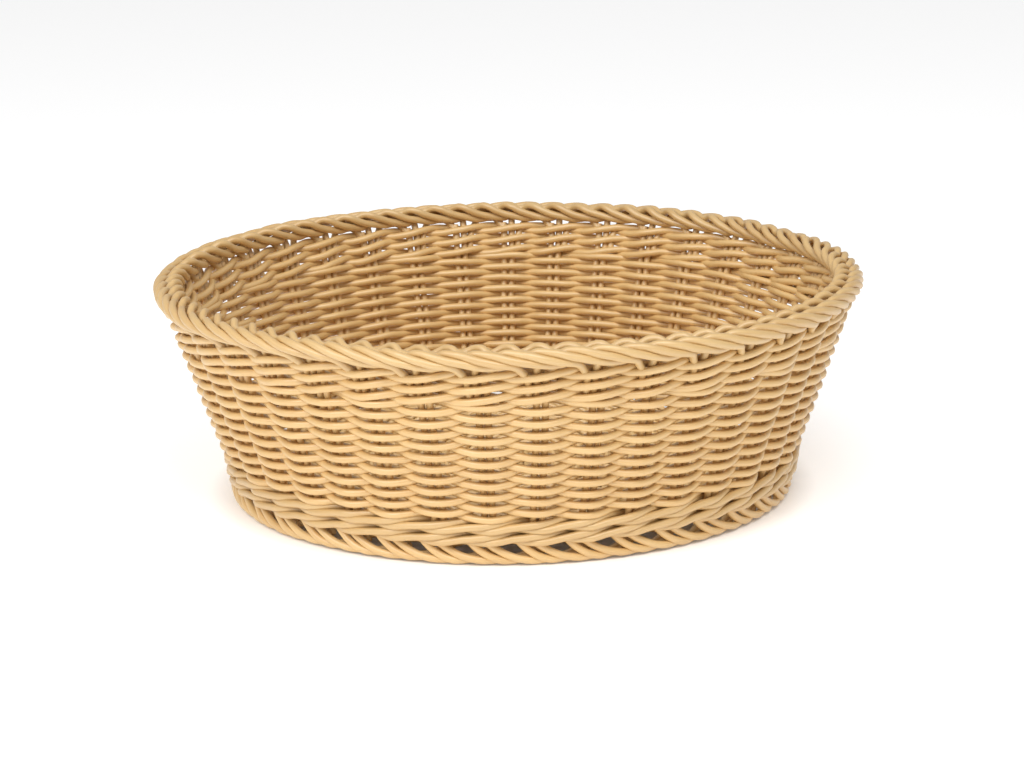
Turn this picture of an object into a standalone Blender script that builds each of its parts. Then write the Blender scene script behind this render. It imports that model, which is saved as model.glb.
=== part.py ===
"""Round bread basket woven from polymer strand, with a flared wall and a rope rim.

Metres, +Z up. The origin is the middle of the underside of the foot border.
Upright stakes, each a flat pair of strands, stand between the foot border and the rim.
Rows of waling, plain weave and pairing are woven round them, from the foot to the rim.
"""

import math

import bmesh
import bpy

# Overall sizes
RIM_DIAMETER = 0.400
HEIGHT = 0.126
FOOT_DIAMETER = 0.322

# The wall: its middle surface leaves the foot steeply and flares above the knee
KNEE_HEIGHT = 0.0255
KNEE_DIAMETER = 0.317
KNEE_SOFTNESS = 0.004
FOOT_TO_WALL = 0.0055

# Stakes: an odd number, so the plain weave alternates, and a multiple of 3 for the waling
STAKE_COUNT = 39
STAKE_WIDTH = 0.0064
STAKE_THICKNESS = 0.0018
FIRST_STAKE_ANGLE = math.radians(-94.5)

# Strands of the rows: their section, and the room they need to bend past a stake's edges
BEND_ROOM = 0.00163
WEAVER_THICKNESS = 0.0024
WEAVER_HEIGHT = 0.0029
TWIST_THICKNESS = 0.0021
TWIST_HEIGHT = 0.0025

# Plain weave: level rows that step up to the next one between two of the stakes
ROW_PITCH = 0.00315
WEAVER_COUNT = 7
END_REACH = 0.45
FIRST_WEAVE_STAKE = 14
CLIMB_STAKES = 6

# Waling at the bottom: three strands to a row, each over two stakes and under one
WALE_ROWS = 2
WALE_PITCH = 0.0069
WALE_RISE = 0.0018
WALE_CROSSING = 0.0020

# Pairing at the top: one strand laid double round the basket and twisted with itself
PAIRING_ROWS = 3
PAIRING_PITCH = 0.0064
PAIRING_CROSSING = 0.0016

# Borders
RIM_WIDTH = 0.016
RIM_DEPTH = 0.013
RIM_SIDES = 6
RIM_STEPS_PER_STAKE = 2
RIM_RIDGE_SHIFT = 45
FOOT_BORDER_WIDTH = 0.011
FOOT_BORDER_HEIGHT = 0.0122
FOOT_NOTCH_DEPTH = 0.0032

# Base
BASE_THICKNESS = 0.005
BASE_UNDERSIDE = 0.0085
BASE_RINGS = 5
BASE_RING_RELIEF = 0.0006

# Space kept between pieces that touch
CLEARANCE = 0.0003

# Places worked out from the sizes
SPACING = 2 * math.pi / STAKE_COUNT
RIM_RADIUS = (RIM_DIAMETER - RIM_WIDTH) / 2
RIM_CENTRE_HEIGHT = HEIGHT - RIM_DEPTH / 2
FOOT_RADIUS = (FOOT_DIAMETER - FOOT_BORDER_WIDTH) / 2
FOOT_WALL_RADIUS = FOOT_DIAMETER / 2 - FOOT_TO_WALL
LOWER_SLOPE = (KNEE_DIAMETER / 2 - FOOT_WALL_RADIUS) / KNEE_HEIGHT
UPPER_SLOPE = (RIM_RADIUS - KNEE_DIAMETER / 2) / (RIM_CENTRE_HEIGHT - KNEE_HEIGHT)
SLANT = math.hypot(1.0, UPPER_SLOPE)
STAND_OFF = (STAKE_THICKNESS * SLANT + WEAVER_THICKNESS + UPPER_SLOPE * WEAVER_HEIGHT) / 2 + BEND_ROOM
STAKE_BOTTOM = FOOT_BORDER_HEIGHT + CLEARANCE
STAKE_TOP = HEIGHT - RIM_DEPTH - CLEARANCE
WALE_HALF_HEIGHT = WALE_CROSSING + TWIST_HEIGHT / 2
PAIRING_HALF_HEIGHT = PAIRING_CROSSING + TWIST_HEIGHT / 2
FIRST_WALE_HEIGHT = STAKE_BOTTOM + WALE_HALF_HEIGHT
LAST_PAIRING_HEIGHT = STAKE_TOP - PAIRING_HALF_HEIGHT
WALE_TOP = FIRST_WALE_HEIGHT + (WALE_ROWS - 1) * WALE_PITCH + WALE_HALF_HEIGHT
PAIRING_BOTTOM = LAST_PAIRING_HEIGHT - (PAIRING_ROWS - 1) * PAIRING_PITCH - PAIRING_HALF_HEIGHT
WEAVE_START = WALE_TOP + CLEARANCE + WEAVER_HEIGHT / 2
WEAVE_END = PAIRING_BOTTOM - CLEARANCE - WEAVER_HEIGHT / 2
WEAVE_ROWS = int((WEAVE_END - WEAVE_START) / ROW_PITCH) + 1
ROW_RISE = (WEAVE_END - WEAVE_START) / (WEAVE_ROWS - 1)
WEAVER_STEPS = WEAVE_ROWS * STAKE_COUNT // WEAVER_COUNT

STRAND_COLOUR = (0.82, 0.62, 0.36)
SHADED_COLOUR = (0.68, 0.47, 0.24)


def clear_scene():
    for item in list(bpy.data.objects):
        bpy.data.objects.remove(item, do_unlink=True)


def wall_radius(height):
    """Radius of the wall's middle surface: two straight slopes with a soft knee between."""
    bend = (height - KNEE_HEIGHT) / KNEE_SOFTNESS
    soft = KNEE_SOFTNESS * (max(bend, 0.0) + math.log1p(math.exp(-abs(bend))))
    return FOOT_WALL_RADIUS + LOWER_SLOPE * height + (UPPER_SLOPE - LOWER_SLOPE) * soft


def stake_angle(step):
    return FIRST_STAKE_ANGLE + step * SPACING


def strand_material(name, colour, roughness):
    material = bpy.data.materials.new(name)
    material.use_nodes = True
    shader = material.node_tree.nodes["Principled BSDF"]
    shader.inputs["Base Color"].default_value = (*colour, 1.0)
    shader.inputs["Roughness"].default_value = roughness
    shader.inputs["Metallic"].default_value = 0.0
    return material


def add_solid(name, corners, faces, colour):
    """One named object from corner points and faces, with its normals turned outwards."""
    shape = bmesh.new()
    points = [shape.verts.new(corner) for corner in corners]
    for face in faces:
        shape.faces.new([points[index] for index in face])
    bmesh.ops.recalc_face_normals(shape, faces=shape.faces)
    mesh = bpy.data.meshes.new(name)
    shape.to_mesh(mesh)
    shape.free()
    mesh.materials.append(strand_material(name + "_strand", colour, 0.45))
    solid = bpy.data.objects.new(name, mesh)
    bpy.context.scene.collection.objects.link(solid)
    return solid


def swept_faces(stations, sides, closed):
    """Faces of a tube whose stations follow each other, with end caps if it is open."""
    faces = []
    for station in range(stations if closed else stations - 1):
        here = station * sides
        there = (station + 1) % stations * sides
        for side in range(sides):
            beside = (side + 1) % sides
            faces.append((here + side, here + beside, there + beside, there + side))
    if not closed:
        faces.append(tuple(range(sides)))
        faces.append(tuple((stations - 1) * sides + side for side in range(sides)))
    return faces


def add_strand(name, path, thickness, height, closed):
    """A strand of rectangular section along path, a list of (angle, radius, height)."""
    corners = []
    for angle, radius, level in path:
        for out, rise in ((-1, -1), (1, -1), (1, 1), (-1, 1)):
            reach = radius + out * thickness / 2
            corner_height = level + rise * height / 2
            corners.append((reach * math.cos(angle), reach * math.sin(angle), corner_height))
    return add_solid(name, corners, swept_faces(len(path), 4, closed), STRAND_COLOUR)


def add_stake(number):
    """One upright stake: a flat bar that follows the wall from the foot to the rim."""
    angle = stake_angle(number - 1)
    outward = (math.cos(angle), math.sin(angle))
    sideways = (-math.sin(angle), math.cos(angle))
    corners = []
    below_knee = KNEE_HEIGHT - KNEE_SOFTNESS
    above_knee = KNEE_HEIGHT + 2 * KNEE_SOFTNESS
    levels = [STAKE_BOTTOM, below_knee, above_knee, STAKE_TOP]
    for level in levels:
        radius = wall_radius(level)
        for out, side in ((-1, -1), (1, -1), (1, 1), (-1, 1)):
            reach = radius + out * STAKE_THICKNESS / 2
            offset = side * STAKE_WIDTH / 2
            corners.append((
                reach * outward[0] + offset * sideways[0],
                reach * outward[1] + offset * sideways[1],
                level,
            ))
    add_solid(f"stake_{number:02d}", corners, swept_faces(len(levels), 4, False), STRAND_COLOUR)


def weave_height(step):
    """Height of the plain weave after so many stakes: level, then a soft step up each turn."""
    turn, stakes = divmod(step, STAKE_COUNT)
    share = max((stakes - STAKE_COUNT + CLIMB_STAKES) / CLIMB_STAKES, 0.0)
    rise = share * share * (3 - 2 * share)
    return WEAVE_START + min(turn + rise, WEAVE_ROWS - 1) * ROW_RISE


def add_randing_weaver(number):
    """One weaver of the plain weave: in front of one stake, behind the next."""
    first = (number - 1) * WEAVER_STEPS
    path = []
    for step in range(WEAVER_STEPS):
        side = 1 if (first + step) % 2 else -1
        path.append((first + step, side))
    reach = 1 - 2 * END_REACH
    path.insert(0, (first - END_REACH, path[0][1] * reach))
    path.append((first + WEAVER_STEPS - 1 + END_REACH, path[-1][1] * reach))
    places = []
    for step, side in path:
        level = weave_height(step)
        angle = stake_angle(step + FIRST_WEAVE_STAKE)
        places.append((angle, wall_radius(level) + side * STAND_OFF, level))
    add_strand(f"randing_weaver_{number}", places, WEAVER_THICKNESS, WEAVER_HEIGHT, False)


def add_wale_strand(row, strand):
    """One closed strand of a waling row: it climbs outside two stakes and ducks inside one."""
    centre = FIRST_WALE_HEIGHT + (row - 1) * WALE_PITCH
    cycle = (
        (1, -WALE_RISE), (1, 0.0), (1, WALE_RISE),
        (0, WALE_CROSSING), (-1, 0.0), (0, -WALE_CROSSING),
    )
    places = []
    for half_step in range(2 * STAKE_COUNT):
        side, rise = cycle[(half_step - 2 * (strand - 1)) % len(cycle)]
        level = centre + rise
        radius = wall_radius(level) + side * STAND_OFF
        places.append((stake_angle(half_step / 2), radius, level))
    name = f"lower_wale_{row}_strand_{strand}"
    add_strand(name, places, TWIST_THICKNESS, TWIST_HEIGHT, True)


def add_pairing_row(row):
    """One pairing row: a strand that goes round twice and twists with itself at each stake."""
    centre = LAST_PAIRING_HEIGHT - (PAIRING_ROWS - row) * PAIRING_PITCH
    cycle = ((1, 0.0), (0, PAIRING_CROSSING), (-1, 0.0), (0, -PAIRING_CROSSING))
    places = []
    for half_step in range(4 * STAKE_COUNT):
        side, rise = cycle[half_step % len(cycle)]
        level = centre + rise
        radius = wall_radius(level) + side * STAND_OFF
        places.append((stake_angle(half_step / 2), radius, level))
    add_strand(f"pairing_row_{row}", places, TWIST_THICKNESS, TWIST_HEIGHT, True)


def add_rim_border():
    """The rope rim: a ring whose ridges wind round it as the border strands do."""
    stations = RIM_STEPS_PER_STAKE * STAKE_COUNT
    corners = []
    for station in range(stations):
        angle = 2 * math.pi * station / stations
        turn = 2 * math.pi * RIM_RIDGE_SHIFT / RIM_SIDES * station / stations
        for side in range(RIM_SIDES):
            around = 2 * math.pi * side / RIM_SIDES - turn
            radius = RIM_RADIUS + RIM_WIDTH / 2 * math.cos(around)
            level = RIM_CENTRE_HEIGHT + RIM_DEPTH / 2 * math.sin(around)
            corners.append((radius * math.cos(angle), radius * math.sin(angle), level))
    faces = []
    for station in range(stations):
        following = (station + 1) % stations
        carry = RIM_RIDGE_SHIFT if following == 0 else 0
        for side in range(RIM_SIDES):
            beside = (side + 1) % RIM_SIDES
            faces.append((
                station * RIM_SIDES + side,
                station * RIM_SIDES + beside,
                following * RIM_SIDES + (beside - carry) % RIM_SIDES,
                following * RIM_SIDES + (side - carry) % RIM_SIDES,
            ))
    add_solid("rim_border", corners, faces, STRAND_COLOUR)


def add_foot_border():
    """The foot: a ring with a flat underside, and a notch in its top between stakes."""
    corners = []
    stations = 2 * STAKE_COUNT
    for station in range(stations):
        angle = stake_angle(station / 2)
        top = FOOT_BORDER_HEIGHT - (station % 2) * FOOT_NOTCH_DEPTH
        for out, level in ((-1, 0.0), (1, 0.0), (1, top), (-1, top)):
            radius = FOOT_RADIUS + out * FOOT_BORDER_WIDTH / 2
            corners.append((radius * math.cos(angle), radius * math.sin(angle), level))
    add_solid("foot_border", corners, swept_faces(stations, 4, True), SHADED_COLOUR)


def add_base_panel():
    """The base: a round panel inside the foot, ribbed as its rings of weaving are."""
    edge = FOOT_RADIUS - FOOT_BORDER_WIDTH / 2 - CLEARANCE
    top = BASE_UNDERSIDE + BASE_THICKNESS
    profile = []
    for ring in range(2 * BASE_RINGS):
        radius = edge * (ring + 1) / (2 * BASE_RINGS)
        dip = BASE_RING_RELIEF if ring % 2 else 0.0
        profile.append((radius, top - dip))
    upper = len(profile)
    profile.append((edge, BASE_UNDERSIDE))
    corners = []
    for radius, level in profile:
        for station in range(STAKE_COUNT):
            angle = stake_angle(station)
            corners.append((radius * math.cos(angle), radius * math.sin(angle), level))
    faces = []
    for ring in range(upper):
        for station in range(STAKE_COUNT):
            beside = (station + 1) % STAKE_COUNT
            inner = ring * STAKE_COUNT
            outer = (ring + 1) * STAKE_COUNT
            faces.append((inner + station, inner + beside, outer + beside, outer + station))
    faces.append(tuple(range(STAKE_COUNT)))
    faces.append(tuple(upper * STAKE_COUNT + station for station in range(STAKE_COUNT)))
    add_solid("base_panel", corners, faces, SHADED_COLOUR)


def main():
    clear_scene()
    for number in range(1, STAKE_COUNT + 1):
        add_stake(number)
    for number in range(1, WEAVER_COUNT + 1):
        add_randing_weaver(number)
    for row in range(1, WALE_ROWS + 1):
        for strand in (1, 2, 3):
            add_wale_strand(row, strand)
    for row in range(1, PAIRING_ROWS + 1):
        add_pairing_row(row)
    add_rim_border()
    add_foot_border()
    add_base_panel()


main()
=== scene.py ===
"""The looks of a round woven bread basket: every strand of its stakes, weave and borders.

Each group of strands has one operator. A path is worked out from the frame and a few sizes,
and Geometry Nodes repeat it round the basket, give it the small unevenness of hand weaving
and turn it into round strand.
"""

import math

import bpy
from bpy.props import FloatProperty, FloatVectorProperty, IntProperty, PointerProperty
from mathutils import Matrix, Vector


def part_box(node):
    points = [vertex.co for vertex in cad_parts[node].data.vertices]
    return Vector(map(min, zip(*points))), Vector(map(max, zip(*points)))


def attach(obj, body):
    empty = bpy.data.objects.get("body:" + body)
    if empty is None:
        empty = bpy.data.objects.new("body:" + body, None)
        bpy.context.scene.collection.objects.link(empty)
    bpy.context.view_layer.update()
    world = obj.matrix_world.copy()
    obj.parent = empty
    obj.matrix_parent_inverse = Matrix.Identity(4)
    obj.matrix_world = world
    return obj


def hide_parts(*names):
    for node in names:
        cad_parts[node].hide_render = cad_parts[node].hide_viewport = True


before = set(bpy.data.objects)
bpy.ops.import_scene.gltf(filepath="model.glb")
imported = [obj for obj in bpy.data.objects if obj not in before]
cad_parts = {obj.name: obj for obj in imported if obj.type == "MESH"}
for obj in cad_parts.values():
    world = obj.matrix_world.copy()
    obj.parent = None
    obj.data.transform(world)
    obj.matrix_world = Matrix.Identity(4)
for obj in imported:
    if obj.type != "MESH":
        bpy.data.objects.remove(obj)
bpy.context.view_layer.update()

bl_info = {
    "name": "Woven Bread Basket",
    "version": (1, 0, 0),
    "blender": (4, 5, 0),
    "location": "3D View > Sidebar > Basket",
    "description": "Weaves a round bread basket from polymer strand, one group of strands at a time",
    "category": "Add Mesh",
}

# What the frame says: the rim, the foot, the stakes and the rows
RIM_LOW, RIM_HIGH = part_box("rim_border")
FOOT_LOW, FOOT_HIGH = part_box("foot_border")
BASE_LOW, BASE_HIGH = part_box("base_panel")
STAKES = sorted(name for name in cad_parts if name.startswith("stake_"))
WEAVERS = sorted(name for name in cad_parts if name.startswith("randing_weaver_"))
WALE_STRANDS = sorted(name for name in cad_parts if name.startswith("lower_wale_"))
PAIRING_ROWS = sorted(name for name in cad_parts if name.startswith("pairing_row_"))

STAKE_COUNT = len(STAKES)
SPACING = 2 * math.pi / STAKE_COUNT
STAKE_LOW, STAKE_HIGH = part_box(STAKES[0])
FIRST_ANGLE = math.atan2(STAKE_LOW[1] + STAKE_HIGH[1], STAKE_LOW[0] + STAKE_HIGH[0])
STAKE_BOTTOM = STAKE_LOW[2]
STAKE_TOP = STAKE_HIGH[2]
RIM_OUTER = (RIM_HIGH[1] - RIM_LOW[1]) / 2
RIM_HALF_DEPTH = (RIM_HIGH[2] - RIM_LOW[2]) / 2
RIM_LEVEL = (RIM_HIGH[2] + RIM_LOW[2]) / 2
FOOT_OUTER = (FOOT_HIGH[1] - FOOT_LOW[1]) / 2
FOOT_TOP = FOOT_HIGH[2]
BASE_LEVEL = (BASE_LOW[2] + BASE_HIGH[2]) / 2
BASE_EDGE = (BASE_HIGH[0] - BASE_LOW[0]) / 2

MM = 0.001

# The plain weave runs level and steps up to its next row over the last stakes of each turn
FIRST_WEAVE_STAKE = 14
CLIMB_STAKES = 6
WEAVER_TURNS = 3
WEAVER_HALF_HEIGHT = 1.45 * MM
TOP_ROW_LIFT = 1.0 * MM
JOINT_OVERLAP = 0.05

# Thickness of some strands, as shares of the wall's strand
STAKE_SHARE = 0.94
WALE_SHARE = 1.02
PAIRING_SHARE = 1.05

# How far a row leans over, from level with the wall at 0 to square to its slope at 1
WEAVE_SQUARE = 0.75
PAIRING_SQUARE = 0.3

# About how long one border strand is, for its number of points
RIM_STRAND_LENGTH = 0.20
FOOT_STRAND_LENGTH = 0.065

# Soft noise that moves the strands: its scale per metre, and its share of the unevenness
UNEVENNESS_LAYERS = ((14.0, 1.6), (52.0, 0.9), (130.0, 0.35))


def row_level(node):
    low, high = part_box(node)
    return (low[2] + high[2]) / 2


# ---------------------------------------------------------------- sizes and colours

class BasketSizes(bpy.types.PropertyGroup):
    strand: FloatProperty(
        name="Strand", description="Diameter of the strand of the wall",
        default=4.0 * MM, min=1 * MM, unit="LENGTH")
    border_strand: FloatProperty(
        name="Border strand", description="Diameter of the strand of the rim and the foot",
        default=4.2 * MM, min=1 * MM, unit="LENGTH")
    base_strand: FloatProperty(
        name="Base strand", description="Diameter of the strand of the base",
        default=3.0 * MM, min=1 * MM, unit="LENGTH")
    rim_width: FloatProperty(
        name="Rim width", description="Width of the rope rim",
        default=16 * MM, min=5 * MM, unit="LENGTH")
    knee_height: FloatProperty(
        name="Knee height", description="Height at which the wall starts to flare",
        default=25.5 * MM, unit="LENGTH")
    knee_radius: FloatProperty(
        name="Knee radius", description="Radius of the middle of the wall at the knee",
        default=158.5 * MM, unit="LENGTH")
    foot_inset: FloatProperty(
        name="Foot inset", description="From the outside of the foot to the middle of the wall",
        default=5.5 * MM, unit="LENGTH")
    pair_spread: FloatProperty(
        name="Pair spread", description="From the middle of a stake to each of its two strands",
        default=2.25 * MM, unit="LENGTH")
    pair_spread_top: FloatProperty(
        name="Pair spread at the top", description="The same in the pairing below the rim",
        default=2.45 * MM, unit="LENGTH")
    wobble: FloatProperty(
        name="Unevenness", description="How far hand weaving moves a strand from its true line",
        default=0.7 * MM, unit="LENGTH")
    sides: IntProperty(
        name="Sides", description="Sides of a strand's round section", default=10, min=5)
    step: FloatProperty(
        name="Step", description="Length of one straight piece of a strand",
        default=2.0 * MM, min=0.5 * MM, unit="LENGTH")


class BasketColours(bpy.types.PropertyGroup):
    light: FloatVectorProperty(
        name="Light strand", description="Colour of the palest strand",
        subtype="COLOR", size=3, default=(0.75, 0.502, 0.208), min=0, max=1)
    dark: FloatVectorProperty(
        name="Dark strand", description="Colour of the darkest strand",
        subtype="COLOR", size=3, default=(0.68, 0.425, 0.160), min=0, max=1)
    streak: FloatVectorProperty(
        name="Streak", description="Colour of the fine brown streaks along a strand",
        subtype="COLOR", size=3, default=(0.42, 0.22, 0.07), min=0, max=1)


def sizes():
    return bpy.context.scene.basket_sizes


def colours():
    return bpy.context.scene.basket_colours


# ---------------------------------------------------------------- shapes

def wall_radius(level):
    """Radius of the wall's middle surface: two slopes with a soft knee between them."""
    softness = 4 * MM
    size = sizes()
    foot = FOOT_OUTER - size.foot_inset
    rim = RIM_OUTER - size.rim_width / 2
    lower = (size.knee_radius - foot) / size.knee_height
    upper = (rim - size.knee_radius) / (RIM_LEVEL - size.knee_height)
    bend = (level - size.knee_height) / softness
    soft = softness * (max(bend, 0.0) + math.log1p(math.exp(-abs(bend))))
    return foot + lower * level + (upper - lower) * soft


def smooth_step(value, start, end):
    share = min(max((value - start) / (end - start), 0.0), 1.0)
    return share * share * (3 - 2 * share)


def around(step, radius, level):
    """The point at a place round the basket, counted in stakes from the first one."""
    angle = FIRST_ANGLE + step * SPACING
    return Vector((radius * math.cos(angle), radius * math.sin(angle), level))


def off_wall(step, level, offset, square=1.0):
    """A point beside the wall: level with it at square 0, and square to its slope at 1."""
    slope = (wall_radius(level + MM) - wall_radius(level - MM)) / (2 * MM) * square
    length = math.hypot(1.0, slope)
    return around(step, wall_radius(level) + offset / length, level - offset * slope / length)


def between(four, t):
    """A point on the smooth curve through four knots, at share t from the second to the third."""
    return tuple(
        0.5 * (2 * b + (c - a) * t + (2 * a - 5 * b + 4 * c - d) * t * t
               + (3 * b - a - 3 * c + d) * t * t * t)
        for a, b, c, d in zip(*four))


def through(knots, share):
    """A point on the smooth curve through knots, at share 0 to 1 of its length in knots."""
    last = len(knots) - 1
    place = share * last
    first = min(int(place), last - 1)
    four = (knots[max(first - 1, 0)], knots[first], knots[first + 1],
            knots[min(first + 2, last)])
    return between(four, place - first)


def cyclic(knots, phase):
    """A point on the smooth closed curve through knots. A whole turn is a phase of 1."""
    count = len(knots)
    place = (phase % 1.0) * count
    first = int(place) % count
    four = [knots[(first + shift) % count] for shift in (-1, 0, 1, 2)]
    return between(four, place - int(place))


# ---------------------------------------------------------------- geometry nodes

def add_input(tree, name, kind, default=None):
    socket = tree.interface.new_socket(name, in_out="INPUT", socket_type=kind)
    if default is not None:
        socket.default_value = default
    return socket


def maths(tree, operation, first, second):
    node = tree.nodes.new("ShaderNodeMath")
    node.operation = operation
    for socket, value in zip(node.inputs, (first, second)):
        if isinstance(value, (int, float)):
            socket.default_value = value
        else:
            tree.links.new(value, socket)
    return node.outputs[0]


def vector_maths(tree, operation, first, second):
    node = tree.nodes.new("ShaderNodeVectorMath")
    node.operation = operation
    for socket, value in zip(node.inputs, (first, second)):
        if isinstance(value, tuple):
            socket.default_value = value
        else:
            tree.links.new(value, socket)
    return node.outputs[0]


def unevenness_tree():
    """Moves points by a soft noise field, so neighbouring strands stay side by side."""
    tree = bpy.data.node_groups.new("hand_woven_unevenness", "GeometryNodeTree")
    add_input(tree, "Geometry", "NodeSocketGeometry")
    add_input(tree, "Amount", "NodeSocketFloat", 0.7 * MM)
    tree.interface.new_socket("Geometry", in_out="OUTPUT", socket_type="NodeSocketGeometry")
    entry = tree.nodes.new("NodeGroupInput")
    leave = tree.nodes.new("NodeGroupOutput")
    place = tree.nodes.new("GeometryNodeInputPosition")
    move = tree.nodes.new("GeometryNodeSetPosition")
    total = None
    for scale, share in UNEVENNESS_LAYERS:
        noise = tree.nodes.new("ShaderNodeTexNoise")
        noise.inputs["Scale"].default_value = scale
        noise.inputs["Detail"].default_value = 0.0
        tree.links.new(place.outputs[0], noise.inputs["Vector"])
        centred = vector_maths(tree, "SUBTRACT", noise.outputs["Color"], (0.5, 0.5, 0.5))
        part = vector_maths(tree, "MULTIPLY", centred, (share, share, share))
        total = part if total is None else vector_maths(tree, "ADD", total, part)
    scaled = tree.nodes.new("ShaderNodeVectorMath")
    scaled.operation = "SCALE"
    tree.links.new(total, scaled.inputs[0])
    tree.links.new(maths(tree, "MULTIPLY", entry.outputs["Amount"], 2.0), scaled.inputs["Scale"])
    tree.links.new(entry.outputs["Geometry"], move.inputs["Geometry"])
    tree.links.new(scaled.outputs[0], move.inputs["Offset"])
    tree.links.new(move.outputs[0], leave.inputs["Geometry"])
    return tree


def store(tree, geometry, name, kind, value):
    node = tree.nodes.new("GeometryNodeStoreNamedAttribute")
    node.data_type = kind
    node.domain = "POINT"
    node.inputs["Name"].default_value = name
    tree.links.new(geometry, node.inputs["Geometry"])
    tree.links.new(value, node.inputs["Value"])
    return node.outputs["Geometry"]


def strand_tree():
    """Repeats paths round the basket and turns each into strand with its own tint and grain."""
    tree = bpy.data.node_groups.new("strands_round_basket", "GeometryNodeTree")
    add_input(tree, "Geometry", "NodeSocketGeometry")
    add_input(tree, "Count", "NodeSocketInt", 1)
    add_input(tree, "Turn", "NodeSocketFloat", 0.0)
    add_input(tree, "Diameter", "NodeSocketFloat", 4.0 * MM)
    add_input(tree, "Sides", "NodeSocketInt", 10)
    add_input(tree, "Unevenness", "NodeSocketFloat", 0.7 * MM)
    add_input(tree, "Seed", "NodeSocketInt", 1)
    add_input(tree, "Material", "NodeSocketMaterial")
    tree.interface.new_socket("Geometry", in_out="OUTPUT", socket_type="NodeSocketGeometry")
    entry = tree.nodes.new("NodeGroupInput")
    leave = tree.nodes.new("NodeGroupOutput")
    link = tree.links.new

    line = tree.nodes.new("GeometryNodeMeshLine")
    line.inputs["Offset"].default_value = (0, 0, 0)
    link(entry.outputs["Count"], line.inputs["Count"])
    index = tree.nodes.new("GeometryNodeInputIndex")
    turned = maths(tree, "MULTIPLY", index.outputs[0], entry.outputs["Turn"])
    rotation = tree.nodes.new("ShaderNodeCombineXYZ")
    link(turned, rotation.inputs["Z"])
    copies = tree.nodes.new("GeometryNodeInstanceOnPoints")
    link(line.outputs["Mesh"], copies.inputs["Points"])
    link(entry.outputs["Geometry"], copies.inputs["Instance"])
    link(rotation.outputs[0], copies.inputs["Rotation"])
    real = tree.nodes.new("GeometryNodeRealizeInstances")
    link(copies.outputs["Instances"], real.inputs["Geometry"])

    uneven = tree.nodes.new("GeometryNodeGroup")
    uneven.node_tree = unevenness_tree()
    link(real.outputs[0], uneven.inputs["Geometry"])
    link(entry.outputs["Unevenness"], uneven.inputs["Amount"])

    length = tree.nodes.new("GeometryNodeSplineParameter")
    strand_number = tree.nodes.new("GeometryNodeInputIndex")
    tint = tree.nodes.new("FunctionNodeRandomValue")
    tint.data_type = "FLOAT"
    link(strand_number.outputs[0], tint.inputs["ID"])
    link(entry.outputs["Seed"], tint.inputs["Seed"])
    by_strand = tree.nodes.new("GeometryNodeFieldOnDomain")
    by_strand.domain = "CURVE"
    by_strand.data_type = "FLOAT"
    link(tint.outputs["Value"], by_strand.inputs[0])
    curves = store(tree, uneven.outputs[0], "tint", "FLOAT", by_strand.outputs[0])
    curves = store(tree, curves, "along", "FLOAT", length.outputs["Length"])

    section = tree.nodes.new("GeometryNodeCurvePrimitiveCircle")
    section.mode = "RADIUS"
    link(entry.outputs["Sides"], section.inputs["Resolution"])
    link(maths(tree, "MULTIPLY", entry.outputs["Diameter"], 0.5), section.inputs["Radius"])
    section_place = tree.nodes.new("GeometryNodeInputPosition")
    profile = store(tree, section.outputs["Curve"], "across", "FLOAT_VECTOR",
                    section_place.outputs[0])
    tube = tree.nodes.new("GeometryNodeCurveToMesh")
    tube.inputs["Fill Caps"].default_value = True
    link(curves, tube.inputs["Curve"])
    link(profile, tube.inputs["Profile Curve"])
    smooth = tree.nodes.new("GeometryNodeSetShadeSmooth")
    link(tube.outputs[0], smooth.inputs["Geometry"])
    final = tree.nodes.new("GeometryNodeRealizeInstances")
    link(smooth.outputs[0], final.inputs["Geometry"])
    finish = tree.nodes.new("GeometryNodeSetMaterial")
    link(final.outputs[0], finish.inputs["Geometry"])
    link(entry.outputs["Material"], finish.inputs["Material"])
    link(finish.outputs[0], leave.inputs["Geometry"])
    return tree


def socket_identifier(tree, name):
    for item in tree.interface.items_tree:
        if item.item_type == "SOCKET" and item.in_out == "INPUT" and item.name == name:
            return item.identifier
    raise ValueError(f"the tree has no input named {name}")


def weave(name, paths, material, diameter, count=1, closed=False, seed=1, wobble=1.0):
    """Paths, each a list of points, become one plain mesh of round strand."""
    curve = bpy.data.curves.new(name + "_path", "CURVE")
    curve.dimensions = "3D"
    for path in paths:
        spline = curve.splines.new("POLY")
        spline.points.add(len(path) - 1)
        for point, place in zip(spline.points, path):
            point.co = (*place, 1.0)
        spline.use_cyclic_u = closed
    guide = bpy.data.objects.new(name + "_guide", curve)
    bpy.context.scene.collection.objects.link(guide)
    tree = bpy.data.node_groups.get("strands_round_basket") or strand_tree()
    modifier = guide.modifiers.new("strands", "NODES")
    modifier.node_group = tree
    size = sizes()
    values = {
        "Count": count, "Turn": SPACING, "Diameter": diameter, "Sides": size.sides,
        "Unevenness": size.wobble * wobble, "Seed": seed, "Material": material,
    }
    for socket, value in values.items():
        modifier[socket_identifier(tree, socket)] = value
    graph = bpy.context.evaluated_depsgraph_get()
    graph.update()
    mesh = bpy.data.meshes.new_from_object(guide.evaluated_get(graph))
    guide.modifiers.remove(modifier)
    bpy.data.objects.remove(guide, do_unlink=True)
    bpy.data.curves.remove(curve)
    if not mesh.polygons:
        raise RuntimeError(f"{name} came out empty")
    mesh.name = name
    if not mesh.materials:
        mesh.materials.append(material)
    piece = bpy.data.objects.new(name, mesh)
    bpy.context.scene.collection.objects.link(piece)
    return piece


def finish_piece(piece, slot, *nodes):
    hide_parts(*nodes)
    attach(piece, "root")


def samples(length, finer=1.0):
    return max(int(length * finer / sizes().step), 2)


# ---------------------------------------------------------------- materials

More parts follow.
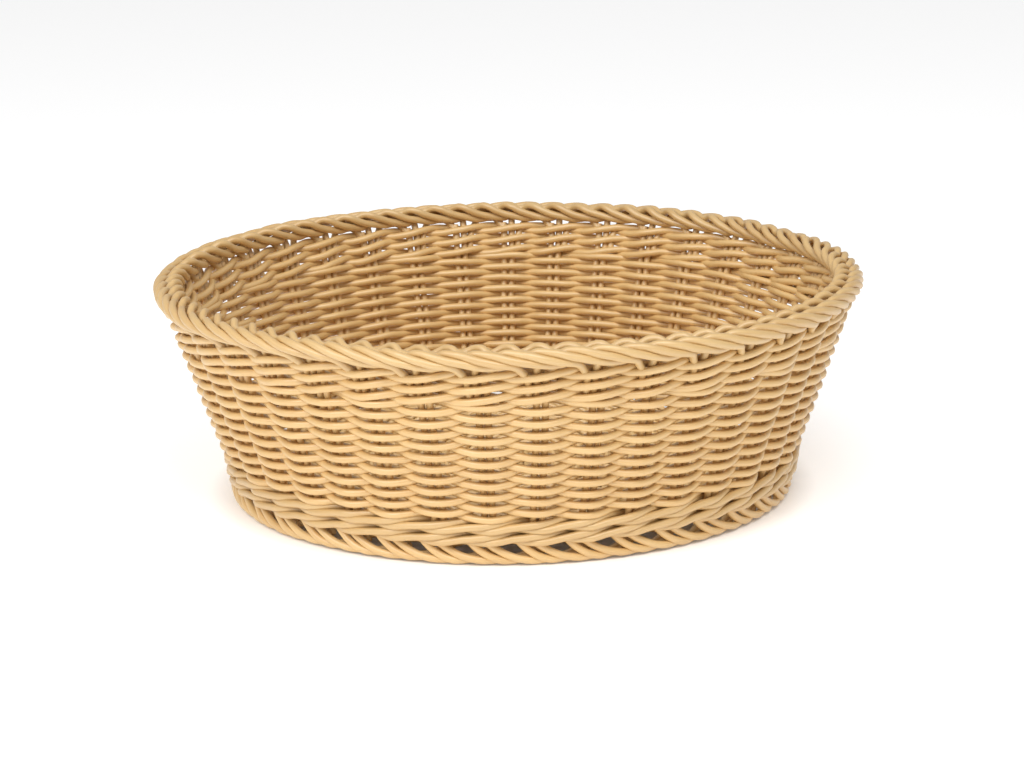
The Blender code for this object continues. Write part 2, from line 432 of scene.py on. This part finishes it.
def strand_grain_group():
    """Fine streaks along a strand, soft blotches, and a height for the bump."""
    strand_shift, grain_stretch = 7.0, 0.04
    streak_scale, blotch_scale = 1500.0, 28.0
    group = bpy.data.node_groups.new("strand_grain", "ShaderNodeTree")
    for name, kind in (("Along", "NodeSocketFloat"), ("Across", "NodeSocketVector"),
                       ("Tint", "NodeSocketFloat")):
        group.interface.new_socket(name, in_out="INPUT", socket_type=kind)
    for name in ("Streaks", "Blotches", "Height"):
        group.interface.new_socket(name, in_out="OUTPUT", socket_type="NodeSocketFloat")
    entry = group.nodes.new("NodeGroupInput")
    leave = group.nodes.new("NodeGroupOutput")
    offset = maths(group, "MULTIPLY", entry.outputs["Tint"], strand_shift)
    along = maths(group, "ADD", entry.outputs["Along"], offset)
    split = group.nodes.new("ShaderNodeSeparateXYZ")
    group.links.new(entry.outputs["Across"], split.inputs[0])
    place = group.nodes.new("ShaderNodeCombineXYZ")
    group.links.new(maths(group, "MULTIPLY", along, grain_stretch), place.inputs["X"])
    group.links.new(split.outputs["X"], place.inputs["Y"])
    group.links.new(split.outputs["Y"], place.inputs["Z"])
    streaks = group.nodes.new("ShaderNodeTexNoise")
    streaks.inputs["Scale"].default_value = streak_scale
    streaks.inputs["Detail"].default_value = 3.0
    group.links.new(place.outputs[0], streaks.inputs["Vector"])
    blotch_place = group.nodes.new("ShaderNodeCombineXYZ")
    group.links.new(along, blotch_place.inputs["X"])
    group.links.new(entry.outputs["Tint"], blotch_place.inputs["Y"])
    blotches = group.nodes.new("ShaderNodeTexNoise")
    blotches.inputs["Scale"].default_value = blotch_scale
    blotches.inputs["Detail"].default_value = 2.0
    group.links.new(blotch_place.outputs[0], blotches.inputs["Vector"])
    group.links.new(streaks.outputs["Fac"], leave.inputs["Streaks"])
    group.links.new(blotches.outputs["Fac"], leave.inputs["Blotches"])
    group.links.new(streaks.outputs["Fac"], leave.inputs["Height"])
    return group


def ramp(material, value, low, high):
    node = material.node_tree.nodes.new("ShaderNodeMapRange")
    node.inputs["From Min"].default_value = low
    node.inputs["From Max"].default_value = high
    material.node_tree.links.new(value, node.inputs["Value"])
    return node.outputs["Result"]


def mix_colour(material, share, first, second):
    node = material.node_tree.nodes.new("ShaderNodeMix")
    node.data_type = "RGBA"
    material.node_tree.links.new(share, node.inputs["Factor"])
    for socket, value in ((node.inputs[6], first), (node.inputs[7], second)):
        if isinstance(value, tuple):
            socket.default_value = value
        else:
            material.node_tree.links.new(value, socket)
    return node.outputs[2]


def strand_material(name, shade=1.0):
    """Satin honey-coloured strand. A shade under 1 makes a darker copy; on the rim and the waling
    that darkness is painted shade.
    """
    found = bpy.data.materials.get(name)
    if found:
        return found
    tint_share, blotch_share, streak_share = 0.55, 0.45, 0.35
    material = bpy.data.materials.new(name)
    material.use_nodes = True
    tree = material.node_tree
    nodes = tree.nodes
    link = tree.links.new
    shader = nodes["Principled BSDF"]
    grain = nodes.new("ShaderNodeGroup")
    grain.node_tree = bpy.data.node_groups.get("strand_grain") or strand_grain_group()
    values = {}
    for attribute, socket in (("along", "Fac"), ("across", "Vector"), ("tint", "Fac")):
        node = nodes.new("ShaderNodeAttribute")
        node.attribute_name = attribute
        values[attribute] = node.outputs[socket]
    link(values["along"], grain.inputs["Along"])
    link(values["across"], grain.inputs["Across"])
    link(values["tint"], grain.inputs["Tint"])

    def shaded(colour):
        return tuple(part * shade for part in colour) + (1.0,)

    palette = colours()
    tinted = maths(tree, "MULTIPLY", values["tint"], tint_share)
    blotches = ramp(material, grain.outputs["Blotches"], 0.35, 0.75)
    blotched = maths(tree, "MULTIPLY", blotches, blotch_share)
    darkness = maths(tree, "ADD", tinted, blotched)
    body = mix_colour(material, darkness, shaded(palette.light), shaded(palette.dark))
    streaks = ramp(material, grain.outputs["Streaks"], 0.58, 0.80)
    streaked = maths(tree, "MULTIPLY", streaks, streak_share)
    colour = mix_colour(material, streaked, body, shaded(palette.streak))
    link(colour, shader.inputs["Base Color"])
    rough = nodes.new("ShaderNodeMapRange")
    rough.inputs["To Min"].default_value = 0.34
    rough.inputs["To Max"].default_value = 0.52
    link(grain.outputs["Streaks"], rough.inputs["Value"])
    link(rough.outputs["Result"], shader.inputs["Roughness"])
    bump = nodes.new("ShaderNodeBump")
    bump.inputs["Strength"].default_value = 0.25
    bump.inputs["Distance"].default_value = 0.15 * MM
    link(grain.outputs["Height"], bump.inputs["Height"])
    link(bump.outputs["Normal"], shader.inputs["Normal"])
    shader.inputs["Specular IOR Level"].default_value = 0.9
    shader.inputs["Coat Weight"].default_value = 0.5
    shader.inputs["Coat Roughness"].default_value = 0.45
    return material


# ---------------------------------------------------------------- pieces

def stake_path(side):
    """One of the two strands of a stake, from inside the foot to the underside of the rim."""
    size = sizes()
    path = []
    bottom = STAKE_BOTTOM - 1 * MM
    count = samples(STAKE_TOP - bottom)
    for number in range(count + 1):
        level = bottom + (STAKE_TOP - bottom) * number / count
        top = smooth_step(level, STAKE_TOP - 26 * MM, STAKE_TOP - 8 * MM)
        spread = size.pair_spread + (size.pair_spread_top - size.pair_spread) * top
        radius = wall_radius(level)
        path.append(around(side * spread / (radius * SPACING), radius, level))
    return path


class BASKET_OT_stakes(bpy.types.Operator):
    """Stand the pairs of upright strands round the wall"""
    bl_idname = "basket.stakes"
    bl_label = "Stakes"

    def execute(self, context):
        paths = [stake_path(side) for side in (-1, 1)]
        piece = weave("stake_pairs", paths, strand_material("woven_wall"),
                      sizes().strand * STAKE_SHARE, count=STAKE_COUNT, seed=3)
        finish_piece(piece, "wall_strand", *STAKES)
        return {"FINISHED"}


def weave_level(step, start, end, rows):
    """Height of the plain weave after so many stakes."""
    turn, stakes = divmod(step, STAKE_COUNT)
    rise = smooth_step(stakes, STAKE_COUNT - CLIMB_STAKES, STAKE_COUNT)
    done = min(max(turn + rise, 0.0), rows - 1)
    return start + (end - start) * done / (rows - 1)


def weaver_joint(number):
    """Where a weaver starts, in stakes: an odd number, so the joint is outside a stake."""
    middle = number * WEAVER_TURNS * STAKE_COUNT
    return middle - (middle + 1) % 2


class BASKET_OT_randing(bpy.types.Operator):
    """Weave the plain weave of the wall, one weaver after another"""
    bl_idname = "basket.randing"
    bl_label = "Plain weave"

    def execute(self, context):
        size = sizes()
        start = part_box(WEAVERS[0])[0][2] + WEAVER_HALF_HEIGHT
        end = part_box(WEAVERS[-1])[1][2] - WEAVER_HALF_HEIGHT + TOP_ROW_LIFT
        rows = WEAVER_TURNS * len(WEAVERS)
        reach = size.strand * 1.02
        count = samples(WEAVER_TURNS * STAKE_COUNT * SPACING * wall_radius((start + end) / 2))
        for number, node in enumerate(WEAVERS):
            first = weaver_joint(number) - JOINT_OVERLAP
            length = weaver_joint(number + 1) + JOINT_OVERLAP - first
            path = []
            for sample in range(count + 1):
                step = first + length * sample / count
                level = weave_level(step, start, end, rows)
                offset = -math.cos(math.pi * step) * reach
                path.append(off_wall(step + FIRST_WEAVE_STAKE, level, offset, WEAVE_SQUARE))
            piece = weave(f"plain_weave_strand_{number + 1}", [path],
                          strand_material("woven_wall"), size.strand, seed=11 + number)
            finish_piece(piece, "wall_strand", node)
        return {"FINISHED"}


class BASKET_OT_wale(bpy.types.Operator):
    """Weave the two rows of three-strand waling above the foot"""
    bl_idname = "basket.wale"
    bl_label = "Waling"

    def execute(self, context):
        size = sizes()
        reach = size.strand * 1.03
        rise, crossing = 1.75 * MM, 2.0 * MM
        knots = ((reach, -rise), (reach, 0.0), (reach, rise),
                 (0.0, crossing), (-reach, 0.0), (0.0, -crossing))
        for number, node in enumerate(WALE_STRANDS):
            centre = row_level(node)
            strand = number % 3
            count = samples(2 * math.pi * wall_radius(centre))
            path = []
            for sample in range(count):
                step = STAKE_COUNT * sample / count
                offset, lift = cyclic(knots, (step - strand) / 3)
                path.append(off_wall(step, centre + lift, offset))
            # The waling's strand is the wall's strand made darker, 0.86: painted shade on the
            # waling.
            piece = weave(f"waling_strand_{number + 1}", [path],
                          strand_material("woven_wale_painted_shade", 0.86),
                          size.strand * WALE_SHARE, closed=True, seed=31 + number)
            finish_piece(piece, "wall_strand", node)
        return {"FINISHED"}


class BASKET_OT_pairing(bpy.types.Operator):
    """Twine the three rows of pairing below the rim"""
    bl_idname = "basket.pairing"
    bl_label = "Pairing"

    def execute(self, context):
        size = sizes()
        reach = size.strand
        lift = 1.6 * MM
        for number, node in enumerate(PAIRING_ROWS):
            centre = row_level(node)
            count = samples(4 * math.pi * wall_radius(centre))
            path = []
            for sample in range(count):
                step = 2 * STAKE_COUNT * sample / count
                offset = reach * math.cos(math.pi * step)
                level = centre + lift * math.sin(math.pi * step)
                path.append(off_wall(step, level, offset, PAIRING_SQUARE))
            piece = weave(f"pairing_strand_{number + 1}", [path], strand_material("woven_wall"),
                          size.strand * PAIRING_SHARE, closed=True, seed=41 + number)
            finish_piece(piece, "wall_strand", node)
        return {"FINISHED"}


def rope_point(step, turn, share):
    """A point in the rope rim: turn is degrees up from outward, share is how far out it lies."""
    size = sizes()
    wide = size.rim_width / 2 - size.border_strand / 2
    deep = RIM_HALF_DEPTH - size.border_strand / 2
    angle = math.radians(turn)
    radius = RIM_OUTER - size.rim_width / 2 + wide * share * math.cos(angle)
    level = RIM_LEVEL + deep * share * math.sin(angle)
    return step, radius, level


def rim_path(tucked):
    """A border strand: up from its stake, inside the rope, over it and down outside."""
    size = sizes()
    side = -1 if tucked else 1
    stand = side * size.pair_spread_top / (wall_radius(STAKE_TOP) * SPACING)
    high = STAKE_TOP - 4 * MM
    low = high - 6 * MM
    knots = [
        (stand, wall_radius(low), low),
        (stand, wall_radius(high), high),
        rope_point(-0.06, 266, 0.75) if tucked else rope_point(0.28, 262, 0.85),
    ]
    shift = 0.0 if tucked else 0.5
    # Place in stakes, degrees up from outward, and how far out in the rope
    for step, turn, share in (
            (0.10, 235, 0.98), (0.36, 205, 1.00), (0.60, 178, 1.06), (0.77, 156, 1.20),
            (0.90, 136, 1.34), (1.03, 116, 1.18), (1.16, 96, 0.60), (1.31, 78, 0.46),
            (1.45, 64, 0.88), (1.70, 40, 1.04), (1.98, 10, 1.03), (2.27, -20, 1.00),
            (2.55, -52, 0.96)):
        knots.append(rope_point(step + shift, turn, share))
    if tucked:
        # Place in stakes, millimetres out from the wall, and millimetres below the rim
        for step, out, drop in ((2.66, 2.4, 0.0), (2.75, 0.9, 4.0), (2.79, 0.0, 9.0),
                                (2.79, 0.0, 14.0)):
            level = STAKE_TOP - drop * MM
            knots.append((step, wall_radius(level) + out * MM, level))
    else:
        knots += [rope_point(3.26, -76, 0.90), rope_point(3.46, -100, 0.75),
                  rope_point(3.64, -125, 0.55)]
    count = samples(RIM_STRAND_LENGTH)
    return [around(*through(knots, sample / count)) for sample in range(count + 1)]


class BASKET_OT_rim(bpy.types.Operator):
    """Wind the border strands into the rope rim"""
    bl_idname = "basket.rim"
    bl_label = "Rim"

    def execute(self, context):
        # The rim's strand is the strand made darker, 0.90: painted shade on the rim, which the top
        # lamp lights strongly.
        material = strand_material("woven_rim_painted_shade", 0.90)
        for name, tucked, seed in (("rim_tucked_strands", True, 51),
                                   ("rim_turned_strands", False, 52)):
            piece = weave(name, [rim_path(tucked)], material, sizes().border_strand,
                          count=STAKE_COUNT, seed=seed)
            finish_piece(piece, "border_strand", "rim_border")
        return {"FINISHED"}


def foot_path(steep):
    """A foot strand: out from under the waling, down to the right and in under the foot."""
    size = sizes()
    half = size.border_strand / 2
    wall = wall_radius(FOOT_TOP)
    outer = FOOT_OUTER - half
    start, stretch = (-0.38, 0.72) if steep else (-0.06, 0.95)
    knots = []
    # Place in stakes, radius and height
    for step, radius, level in (
            (-0.10, wall - 0.3 * MM, FOOT_TOP + 3.5 * MM),
            (0.00, wall + 1.0 * MM, FOOT_TOP + 0.7 * MM),
            (0.24, outer - 0.5 * MM, 8.7 * MM),
            (0.56, outer, 5.0 * MM),
            (0.92, outer - 0.7 * MM, 2.8 * MM),
            (1.28, outer - 2.4 * MM, half + 0.5 * MM),
            (1.64, outer - 4.8 * MM, half + 0.6 * MM),
            (1.95, outer - 6.8 * MM, 4.4 * MM),
            (2.20, outer - 8.0 * MM, 7.5 * MM)):
        knots.append((start + step * stretch, radius, level))
    count = samples(FOOT_STRAND_LENGTH)
    return [around(*through(knots, sample / count)) for sample in range(count + 1)]


class BASKET_OT_foot(bpy.types.Operator):
    """Lay the foot border, a pair of strands to each stake"""
    bl_idname = "basket.foot"
    bl_label = "Foot"

    def execute(self, context):
        paths = [foot_path(steep) for steep in (True, False)]
        piece = weave("foot_border_strands", paths, strand_material("woven_foot"),
                      sizes().border_strand, count=STAKE_COUNT, seed=61, wobble=0.5)
        finish_piece(piece, "border_strand", "foot_border")
        return {"FINISHED"}


def base_ring(spokes, inner, outer, level):
    """A spiral of plain weave in the base, between two radii."""
    size = sizes()
    pitch = size.base_strand * 1.08
    swing = size.base_strand * 0.88
    turns = int((outer - inner) / pitch)
    count = samples(math.pi * (inner + outer) * turns)
    path = []
    for sample in range(count + 1):
        turn = turns * sample / count
        lift = swing * math.cos(math.pi * spokes * turn)
        path.append(around(turn * STAKE_COUNT, inner + pitch * turn, level + lift))
    return path


def base_sticks(reach, level):
    """The crossed sticks in the middle of the base, six each way, one layer on the other."""
    thick = sizes().base_strand
    each_way, half_points = 6, 8
    sticks = []
    for number in range(each_way):
        across = (number - (each_way - 1) / 2) * thick * 1.12
        half = math.sqrt(reach * reach - across * across) + 3 * MM
        for turn in (0.0, math.pi / 2):
            lift = thick * 0.5 if turn else -thick * 0.5
            stick = []
            for point in range(-half_points, half_points + 1):
                along = half * point / half_points
                stick.append(Vector((
                    along * math.cos(turn) - across * math.sin(turn),
                    along * math.sin(turn) + across * math.cos(turn),
                    level + lift)))
            sticks.append(stick)
    return sticks


def spoke_pair(step, spread, inner, outer, parts, level):
    """The two strands of a spoke of the base, each beside the line out from its middle."""
    pair = []
    for side in (-1, 1):
        path = []
        for number in range(parts + 1):
            radius = inner + (outer - inner) * number / parts
            path.append(around(step + side * spread / (radius * SPACING), radius, level))
        pair.append(path)
    return pair


class BASKET_OT_base(bpy.types.Operator):
    """Weave the base: crossed sticks, spokes and two spirals of plain weave"""
    bl_idname = "basket.base"
    bl_label = "Base"

    def execute(self, context):
        thick = sizes().base_strand
        level = BASE_LEVEL - 0.5 * MM
        centre, middle, edge = 0.022, 0.078, BASE_EDGE + 2.6 * MM
        inner_spokes = 21
        sticks = base_sticks(centre, level)
        inner_rays = []
        for number in range(inner_spokes):
            step = STAKE_COUNT * number / inner_spokes
            inner_rays += spoke_pair(step, thick * 0.55, centre - 6 * MM, middle + 2 * MM,
                                     24, level)
        outer_ray = spoke_pair(0.0, thick * 0.6, middle - 4 * MM, edge - 1 * MM, 30, level)
        inner_ring = base_ring(inner_spokes, centre, middle, level)
        outer_ring = base_ring(STAKE_COUNT, middle, edge, level)
        material = strand_material("woven_base", 0.92)
        for name, paths, count, seed in (
                ("base_crossed_sticks", sticks, 1, 71),
                ("base_inner_spokes", inner_rays, 1, 72),
                ("base_outer_spokes", outer_ray, STAKE_COUNT, 73),
                ("base_inner_weave", [inner_ring], 1, 74),
                ("base_outer_weave", [outer_ring], 1, 75)):
            piece = weave(name, paths, material, thick, count=count, seed=seed, wobble=0.3)
            finish_piece(piece, "base_strand", "base_panel")
        return {"FINISHED"}


# ---------------------------------------------------------------- stage

def area_light(name, place, target, width, power):
    data = bpy.data.lights.new(name, "AREA")
    data.shape = "DISK"
    data.size = width
    data.energy = power
    lamp = bpy.data.objects.new(name, data)
    lamp.location = place
    lamp.rotation_euler = (Vector(target) - Vector(place)).to_track_quat("-Z", "Y").to_euler()
    bpy.context.scene.collection.objects.link(lamp)


def pale_floor():
    """A pale floor that glows a little so it stays evenly white; the glow stops under the basket,
    which paints a shadow there.
    """
    painted_shadow_radius, painted_shadow_fade_end, glow_strength = 0.150, 0.175, 0.40
    bpy.ops.mesh.primitive_plane_add(size=12.0, location=(0, 0, -0.2 * MM))
    floor = bpy.context.active_object
    floor.name = "floor"
    material = bpy.data.materials.new("pale_floor")
    material.use_nodes = True
    tree = material.node_tree
    shader = tree.nodes["Principled BSDF"]
    shader.inputs["Base Color"].default_value = (0.90, 0.90, 0.90, 1.0)
    shader.inputs["Roughness"].default_value = 0.45
    shader.inputs["Emission Color"].default_value = (1.0, 1.0, 1.0, 1.0)
    place = tree.nodes.new("ShaderNodeTexCoord")
    reach = tree.nodes.new("ShaderNodeVectorMath")
    reach.operation = "LENGTH"
    tree.links.new(place.outputs["Object"], reach.inputs[0])
    # No glow under the basket and a soft rise just outside its foot: a painted shadow under the
    # basket.
    glow_beyond_painted_shadow = ramp(material, reach.outputs["Value"], painted_shadow_radius, painted_shadow_fade_end)
    emission_beyond_painted_shadow = maths(tree, "MULTIPLY", glow_beyond_painted_shadow, glow_strength)
    tree.links.new(emission_beyond_painted_shadow, shader.inputs["Emission Strength"])
    floor.data.materials.append(material)


def add_camera():
    """A long lens, a little above the rim and in front of the basket."""
    elevation, roll, distance = 0.2535, -0.0161, 1.7023
    target = Vector((0.0009, 0.0, 0.0572))
    back = Vector((0.0, -math.cos(elevation), math.sin(elevation)))
    up = Vector((0.0, math.sin(elevation), math.cos(elevation)))
    right = Vector((1.0, 0.0, 0.0))
    camera_x = right * math.cos(roll) + up * math.sin(roll)
    camera_y = up * math.cos(roll) - right * math.sin(roll)
    data = bpy.data.cameras.new("camera")
    data.sensor_width = 36.0
    data.lens = 104.78
    camera = bpy.data.objects.new("camera", data)
    turn = Matrix((camera_x, camera_y, back)).transposed()
    camera.matrix_world = Matrix.Translation(target + back * distance) @ turn.to_4x4()
    bpy.context.scene.collection.objects.link(camera)
    bpy.context.scene.camera = camera


class BASKET_OT_stage(bpy.types.Operator):
    """Set the pale floor, the soft studio light and the camera"""
    bl_idname = "basket.stage"
    bl_label = "Stage"

    def execute(self, context):
        pale_floor()
        world = bpy.data.worlds.new("studio")
        world.use_nodes = True
        background = world.node_tree.nodes["Background"]
        background.inputs["Color"].default_value = (1.0, 1.0, 1.0, 1.0)
        background.inputs["Strength"].default_value = 0.50
        context.scene.world = world
        area_light("key", (-1.1, -1.3, 1.5), (0, 0, 0.05), 1.3, 22.0)
        area_light("top", (0.35, -1.2, 1.75), (0, 0.1, 0.05), 1.1, 18.0)
        add_camera()
        context.scene.view_settings.view_transform = "Standard"
        return {"FINISHED"}


class BASKET_PT_panel(bpy.types.Panel):
    """Every group of strands of the basket, and the stage"""
    bl_idname = "BASKET_PT_panel"
    bl_label = "Woven Bread Basket"
    bl_space_type = "VIEW_3D"
    bl_region_type = "UI"
    bl_category = "Basket"

    def draw(self, context):
        layout = self.layout
        for group in (context.scene.basket_sizes, context.scene.basket_colours):
            for name in group.bl_rna.properties.keys():
                if name not in ("rna_type", "name"):
                    layout.prop(group, name)
        for operator in OPERATORS:
            layout.operator(operator.bl_idname)


OPERATORS = (
    BASKET_OT_stage, BASKET_OT_stakes, BASKET_OT_randing, BASKET_OT_wale, BASKET_OT_pairing,
    BASKET_OT_rim, BASKET_OT_foot, BASKET_OT_base,
)
CLASSES = (BasketSizes, BasketColours) + OPERATORS + (BASKET_PT_panel,)


def register():
    for item in CLASSES:
        bpy.utils.register_class(item)
    bpy.types.Scene.basket_sizes = PointerProperty(type=BasketSizes)
    bpy.types.Scene.basket_colours = PointerProperty(type=BasketColours)


def unregister():
    del bpy.types.Scene.basket_colours
    del bpy.types.Scene.basket_sizes
    for item in reversed(CLASSES):
        bpy.utils.unregister_class(item)


def main():
    register()
    for operator in OPERATORS:
        name = operator.bl_idname.split(".")[1]
        getattr(bpy.ops.basket, name)()


if __name__ == "__main__":
    main()
